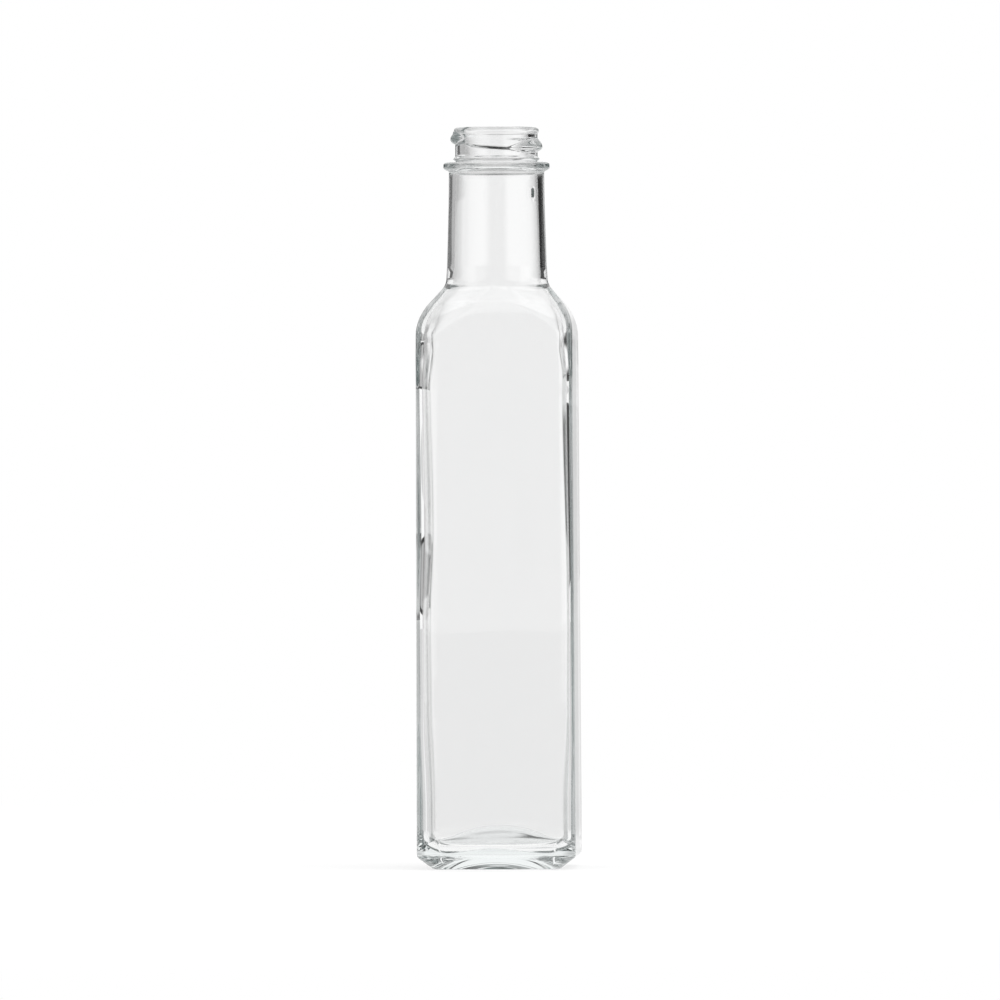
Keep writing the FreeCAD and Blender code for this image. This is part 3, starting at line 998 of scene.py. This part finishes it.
    def inside(self) -> Array:
        """Neck, shoulder and sides of the inside, from the throat down to the floor's edge.

        The outline is the outside's, drawn in by the wall, and its corners are rounder
        than the outside's less the wall, which makes the glass thick in the edges.

        Returns:
            Points in the shape (rows, columns, 3).
        """
        size = self.size
        throat_foot = size.height - size.mouth_depth - size.throat_height
        half_top = size.width_top / 2 - size.mean_wall
        sides_top = size.shoulder_foot - size.inner_join
        path = rounded_path([
            (size.neck_inner_reach, throat_foot, 0.0),
            (size.neck_foot_reach - size.neck_wall, size.neck_foot, 30.0 * MM),
            (size.root_reach - size.root_wall, size.root, size.root_radius * 1.3),
            (half_top, size.shoulder_bend - 1.2 * MM, size.shoulder_bend_radius * 0.9),
            (half_top, sides_top, 0.0)], arc_steps=12, spacing=2.0 * MM)[1:]
        half, level = path[:, 0], path[:, 1]
        turned = self.corner_share(half, half_top, size.root_reach - 1.4 * MM)
        turned = np.where(level > size.shoulder_foot - 2.0 * MM, turned, 0.0)
        radius = size.inner_edge_radius + (half - size.inner_edge_radius) * turned
        turn = self.turns()[None, :]
        fade = ease((size.shoulder_foot + 4.0 * MM - level) / (14.0 * MM))[:, None]
        waves = (self.wall(level[:, None], turn) - size.mean_wall) * fade
        upper = self.ring(half, radius, level, -waves)
        floor_top = size.floor_height + size.floor_round
        level = np.linspace(sides_top, floor_top, self.side_rows)[1:]
        radius = np.full_like(level, size.inner_edge_radius)
        waves = size.mean_wall - self.wall(level[:, None], turn)
        lower = self.ring(self.side_half(level) - size.mean_wall, radius, level, waves)
        return np.concatenate([upper, lower])

    def floor(self, edge: Array) -> Array:
        """The inside's floor: a rounded edge and the dome, joined smoothly.

        The outline shrinks from the sides to the axis. The height is the larger of the
        rounded edge, a quarter circle in the inset, and the dome, a cap of a sphere.

        Args:
            edge: the lowest row of the sides, shape (columns, 3).

        Returns:
            Points in the shape (rows, columns, 3).
        """
        size = self.size
        share = np.concatenate([1.0 - np.cos(np.linspace(0.0, 0.42, 14)[1:] * math.pi / 2),
                                np.linspace(0.21, 0.985, self.floor_rows)])
        reach = np.linalg.norm(edge[:, :2], axis=1)
        circle = float(reach.min())
        round_off = ease(share / 0.9)[:, None]
        outline = reach[None, :] + (circle - reach[None, :]) * round_off
        distance = outline * (1.0 - share[:, None])
        inset = circle * share[:, None]
        rise = np.maximum(size.floor_round - inset, 0.0)
        bowl = size.floor_height + size.floor_round - np.sqrt(size.floor_round ** 2 - rise ** 2)
        under_root = np.maximum(size.dome_radius ** 2 - distance ** 2, 0.0)
        dome = size.dome_height - size.dome_radius + np.sqrt(under_root)
        level = smooth_max(bowl, dome, size.dome_blend)
        turn = self.turns()[None, :]
        return np.stack([distance * np.cos(turn), distance * np.sin(turn), level], axis=2)

    def shell(self) -> Array:
        """All rows of the shell, from the hollow's middle to the dome's top.

        Returns:
            Points in the shape (rows, columns, 3).
        """
        inside = self.inside()
        return np.concatenate([self.underside(), self.body(), self.neck(), self.mouth(), inside,
                               self.floor(inside[-1])])

    def build(self) -> bpy.types.Object:
        """Make the shell's mesh, dress it and tie it to the frame.

        Returns:
            The finished piece.
        """
        rows = self.shell()
        size = self.size
        poles = (Vector((0.0, 0.0, size.hollow_height)), Vector((0.0, 0.0, size.dome_height)))
        piece = closed_shell("bottle_glass", rows, poles)
        piece.data.materials.append(self.finish.material())
        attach(piece, "root")
        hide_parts(NODE)
        LOG.info("bottle_glass: %d rows, %d faces", len(rows), len(piece.data.polygons))
        return piece


def closed_shell(name: str, rows: Array, poles: tuple[Vector, Vector]) -> bpy.types.Object:
    """Object from a grid of rows that is closed by a fan at each end.

    Args:
        name: the object's name.
        rows: points in the shape (rows, columns, 3).
        poles: the two end points, before the first row and after the last.

    Returns:
        The object, smooth, with its faces outward.
    """
    count, columns = rows.shape[:2]
    points = np.concatenate([rows.reshape(-1, 3), np.array([tuple(pole) for pole in poles])])
    grid = np.arange(count * columns).reshape(count, columns)
    following = np.roll(grid, -1, axis=1)
    quads = np.stack([grid[:-1], following[:-1], following[1:], grid[1:]], axis=-1).reshape(-1, 4)
    first, last = count * columns, count * columns + 1
    start = np.stack([following[0], grid[0], np.full(columns, first)], axis=-1)
    end = np.stack([grid[-1], following[-1], np.full(columns, last)], axis=-1)
    mesh = bpy.data.meshes.new(name)
    mesh.from_pydata(points.tolist(), [], quads.tolist() + start.tolist() + end.tolist())
    mesh.polygons.foreach_set("use_smooth", np.ones(len(mesh.polygons), dtype=bool))
    mesh.update()
    piece = bpy.data.objects.new(name, mesh)
    bpy.context.scene.collection.objects.link(piece)
    return piece


# ---------------------------------------------------------------- the studio


@dataclass
class Studio:
    """Table, room light, lamp and camera.

    Attributes:
        distance: from the bottle's axis to the camera, in metres.
        eye_height: height of the camera, level with the middle of the bottle.
        turned: how far the camera stands to the right of the bottle's front.
        roll: how far the camera leans.
        scale: width of the picture in metres at the bottle's axis.
        shift: how far the lens is shifted, in widths of the picture.
        floor_reach: radius of the table top, in metres.
        floor_rings: rings of points on the table top.
        floor_spokes: points on each ring.
        lamp_place: where the lamp hangs.
        lamp_width: the lamp's diameter, in metres.
        lamp_power: the lamp's power, in watts.
        bounces: how often light may be reflected or bent on its way through the glass.
    """

    distance: float = 3.24
    eye_height: float = 107.0 * MM
    turned: float = math.radians(3.2)
    roll: float = math.radians(-0.27)
    scale: float = 293.3 * MM
    shift: tuple[float, float] = (0.0019, 0.0027)
    floor_reach: float = 3.95
    floor_rings: int = 24
    floor_spokes: int = 96
    lamp_place: tuple[float, float, float] = (0.5, -0.4, 1.9)
    lamp_width: float = 1.2
    lamp_power: float = 9.0
    bounces: int = 64

    def floor(self) -> bpy.types.Object:
        """A wide round table top, from rings that widen towards its edge.

        The radius of a ring is the floor's reach times s^2, with s even from 0.03 to 1.

        Returns:
            The table top.
        """
        shape = (self.floor_rings, self.floor_spokes)
        middle = self.floor_rings * self.floor_spokes
        reach = self.floor_reach * np.linspace(0.03, 1.0, self.floor_rings) ** 2
        turn = np.linspace(0.0, 2 * math.pi, self.floor_spokes + 1)[:-1]
        rows = np.stack([reach[:, None] * np.cos(turn), reach[:, None] * np.sin(turn),
                         np.zeros(shape)], axis=2)
        points = np.concatenate([rows.reshape(-1, 3), np.zeros((1, 3))])
        grid = np.arange(middle).reshape(shape)
        following = np.roll(grid, -1, axis=1)
        quads = np.stack([grid[:-1], grid[1:], following[1:], following[:-1]], axis=-1).reshape(-1, 4)
        fan = np.stack([grid[0], following[0], np.full(self.floor_spokes, middle)], axis=-1)
        mesh = bpy.data.meshes.new("studio_floor")
        mesh.from_pydata(points.tolist(), [], quads.tolist() + fan.tolist())
        mesh.materials.append(StudioFloor().material())
        made = bpy.data.objects.new("studio_floor", mesh)
        bpy.context.scene.collection.objects.link(made)
        return made

    def lamp(self) -> None:
        """A large soft lamp that points at the bottle's middle."""
        light = bpy.data.lights.new("top_lamp", "AREA")
        light.shape = "DISK"
        light.size = self.lamp_width
        light.energy = self.lamp_power
        made = bpy.data.objects.new("top_lamp", light)
        made.location = self.lamp_place
        back = Vector(self.lamp_place) - Vector((0.0, 0.0, self.eye_height))
        made.rotation_euler = back.to_track_quat("Z", "Y").to_euler()
        made.visible_glossy = False
        made.visible_transmission = False
        bpy.context.scene.collection.objects.link(made)

    def camera(self) -> None:
        """A long lens level with the bottle's middle, leaning very slightly."""
        data = bpy.data.cameras.new("studio_camera")
        data.sensor_width = 36.0
        data.lens = data.sensor_width * self.distance / self.scale
        data.shift_x, data.shift_y = self.shift
        data.clip_end = 60.0
        made = bpy.data.objects.new("studio_camera", data)
        back = Vector((math.sin(self.turned), -math.cos(self.turned), 0.0))
        made.location = back * self.distance + Vector((0.0, 0.0, self.eye_height))
        aim = back.to_track_quat("Z", "Y").to_matrix().to_4x4() @ Matrix.Rotation(self.roll, 4, "Z")
        made.rotation_euler = aim.to_euler()
        bpy.context.scene.collection.objects.link(made)
        bpy.context.scene.camera = made

    def build(self) -> None:
        """Set up the whole studio and how far light is followed."""
        scene = bpy.context.scene
        scene.view_settings.view_transform = "Standard"
        scene.world = bpy.data.worlds.new("studio_room")
        StudioRoom().build(scene.world)
        self.floor()
        self.lamp()
        self.camera()
        for limit in ("max_bounces", "transmission_bounces", "glossy_bounces"):
            setattr(scene.cycles, limit, self.bounces)
        LOG.info("studio: floor, room, lamp and camera")


def main() -> None:
    """Build the studio and the bottle, and report each piece."""
    logging.basicConfig(level=logging.INFO, format="%(name)s: %(message)s")
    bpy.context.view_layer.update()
    Studio().build()
    GlassBottle(BottleSizes.from_frame(), ClearGlass()).build()


if __name__ == "__main__":
    main()
